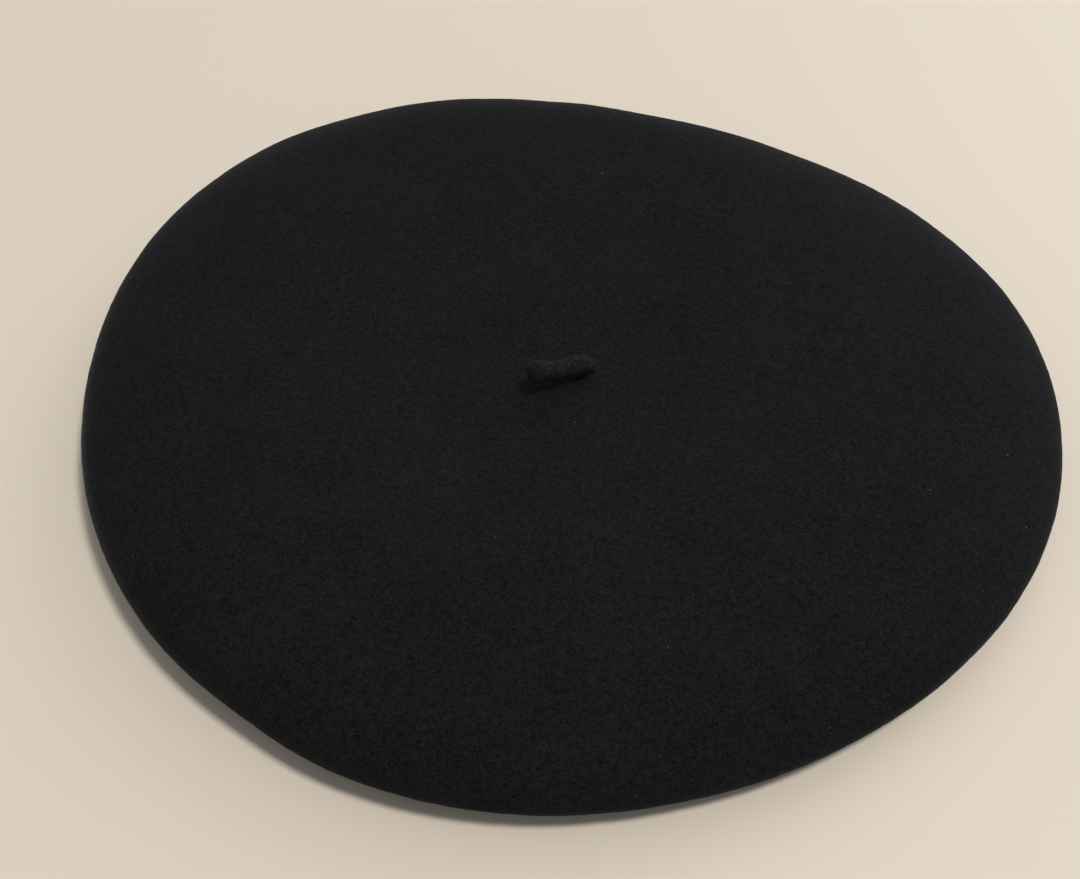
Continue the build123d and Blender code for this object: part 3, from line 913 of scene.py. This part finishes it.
def film_pucker(x, y):
    """How the film puckers near its seam."""
    share = np.abs(x) / (WINDOW_X / 2) + np.abs(y) / (WINDOW_Y / 2)
    near = np.clip((share - 0.7) / 0.3, 0, 1)
    return -0.05 * MM * near * (1 + np.sin(x / (1.6 * MM)) * np.cos(y / (1.9 * MM)))


def make_window(material):
    """The clear lozenge of film over the label, puckered a little along its seam."""
    lozenge = [(WINDOW_X / 2, 0), (0, WINDOW_Y / 2), (-WINDOW_X / 2, 0), (0, -WINDOW_Y / 2)]
    outline, normals = rounded_outline(lozenge, WINDOW_CORNER, 320)
    loops = slab_loops(outline, normals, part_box("label_window")[0].z, FILM, 36, film_pucker)
    finish_piece(loft("label_window_film", loops, material), "label_window")


def make_window_stitches(material):
    """Stitches along the four sides of the film."""
    across, along = WINDOW_SEAM * WINDOW_X / 2, WINDOW_SEAM * WINDOW_Y / 2
    corners = np.array([(across, 0), (0, along), (-across, 0), (0, -along)])
    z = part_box("label_window")[0].z - FINE_THREAD_R - 2 * TOUCH
    skins = []
    for start, end in zip(corners, np.roll(corners, -1, 0)):
        way = (end - start) / np.linalg.norm(end - start)
        for i in range(WINDOW_STITCHES):
            x, y = start + (end - start) * (i + 1) / (WINDOW_STITCHES + 1)
            skins.append(stitch_skin((x, y, z), (*way, 0), -UP, WINDOW_STITCH, FINE_THREAD_R))
    finish_piece(joined("window_thread", skins, material), "window_stitches")


def folded_tape(length, ply, gap, count=64):
    """A path down one ply, round the fold and back up: across the plies, and up from the fold."""
    bend = (ply + gap) / 2
    turn = np.linspace(0, math.pi, 15)[1:-1]
    straight = np.linspace(length, bend, count // 2)
    across = np.concatenate([-bend + 0 * straight, -bend * np.cos(turn), bend + 0 * straight])
    up = np.concatenate([straight, bend - bend * np.sin(turn), straight[::-1]])
    return across, up


def make_care_label(material):
    """The care label: a tape folded in two that hangs from the lining by its sewn edge and curls a little."""
    length = CARE_TOP - CARE_BOTTOM
    across, up = folded_tape(length, TAPE_PLY, CARE_GAP)
    curl = CARE_CURL * ((length - up) / length) ** 2
    path = np.stack([CARE_X + across + curl, 0 * up, CARE_BOTTOM + up], axis=1)
    loops = strip_loops(path, (0, 1, 0), CARE_W / 2, TAPE / 2)
    loops[..., 0] += CARE_WAVE * np.sin(loops[..., 1] / CARE_W * 5) * ((CARE_TOP - loops[..., 2]) / length)
    piece = loft("care_label_tape", loops, material)
    finish_piece(piece, "care_label", body="care_label")


def make_care_stitches(material):
    """The stitches along the care label's sewn edge."""
    z = TIP_LOW - FINE_THREAD_R - TOUCH
    places = [(CARE_X, y, z) for y in CARE_STITCHES_Y]
    skins = [stitch_skin(place, (0, 1, 0), -UP, CARE_STITCH, FINE_THREAD_R) for place in places]
    finish_piece(joined("care_label_thread", skins, material), "care_label_stitches")


def make_size_tab(material):
    """A blank size tape, folded in two and sewn flat on the band."""
    across, up = folded_tape(TAB_L, TAPE_PLY, TAB_GAP)
    path = np.stack([0 * up, TAB_IN + across, TAB_Z - TAB_L / 2 + up], axis=1)
    loops = strip_loops(path, (1, 0, 0), TAB_W / 2, TAPE / 2)
    placed = on_band(loops[..., 0], loops[..., 1], loops[..., 2], TAB_DIRECTION)
    piece = finish_piece(loft("size_tab_tape", placed, material), "size_tab")


# ---------------------------------------- stage

def area_light(name, direction, elevation, distance, size, power, colour):
    """A square soft light over the hat, from a direction and an elevation in degrees."""
    light = bpy.data.lights.new(name, "AREA")
    light.size = size
    light.energy = power
    light.color = colour
    lamp = bpy.data.objects.new(name, light)
    turn, climb = math.radians(direction), math.radians(elevation)
    flat = math.cos(climb)
    place = distance * Vector((flat * math.cos(turn), flat * math.sin(turn), math.sin(climb)))
    lamp.location = place
    lamp.rotation_euler = (-place).to_track_quat("-Z", "Y").to_euler()
    bpy.context.scene.collection.objects.link(lamp)


def make_stage():
    """Plain pale floor, soft studio light and the camera."""
    corners = [(x, y, 0) for x, y in rectangle(FLOOR_HALF, FLOOR_HALF)]
    floor = mesh_piece("floor", corners, [(0, 1, 2, 3)], plain_material("floor", FLOOR_COLOUR, 0.6))
    area_light("key", *KEY_LIGHT)
    area_light("back", *BACK_LIGHT)
    world = bpy.data.worlds.new("studio")
    world.use_nodes = True
    background = world.node_tree.nodes["Background"]
    background.inputs["Color"].default_value = (*SKY_COLOUR, 1)
    background.inputs["Strength"].default_value = SKY_STRENGTH
    bpy.context.scene.world = world
    bpy.context.scene.view_settings.view_transform = "Standard"
    lens = bpy.data.cameras.new("camera")
    lens.lens = LENS
    camera = bpy.data.objects.new("camera", lens)
    camera.location = CAMERA_PLACE
    camera.rotation_euler = (math.radians(CAMERA_TILT), 0, 0)
    bpy.context.scene.collection.objects.link(camera)
    bpy.context.scene.camera = camera


# ---------------------------------------- the beret

thread = thread_material()
satin = woven_material("lining_satin", "XY", *SATIN_CLOTH)
damask = woven_material("label_weave", "XY", *LABEL_CLOTH)
make_felt_body(felt_material("black_felt", FELT_DARK, FELT_LIGHT, FELT_SHEEN))
# The stalk takes the lighter felt colours, a painted highlight.
make_stalk(felt_material("black_felt_stalk_painted_lit", STALK_DARK_PAINTED_LIT, STALK_LIGHT_PAINTED_LIT, STALK_SHEEN))
make_stalk_tacks(thread)
make_sweatband(leather_material())
make_band_stitches(thread)
make_bow(ribbon_material())
make_lining_tip(satin)
make_lining_side(satin)
make_lining_stitches(thread)
make_maker_label(damask)
make_window(film_material())
make_window_stitches(thread)
make_care_label(woven_material("label_weave_care", "YZ", *LABEL_CLOTH))
make_care_stitches(thread)
make_size_tab(woven_material("label_weave_size", "XZ", *LABEL_CLOTH))
make_stage()

bpy.context.view_layer.update()
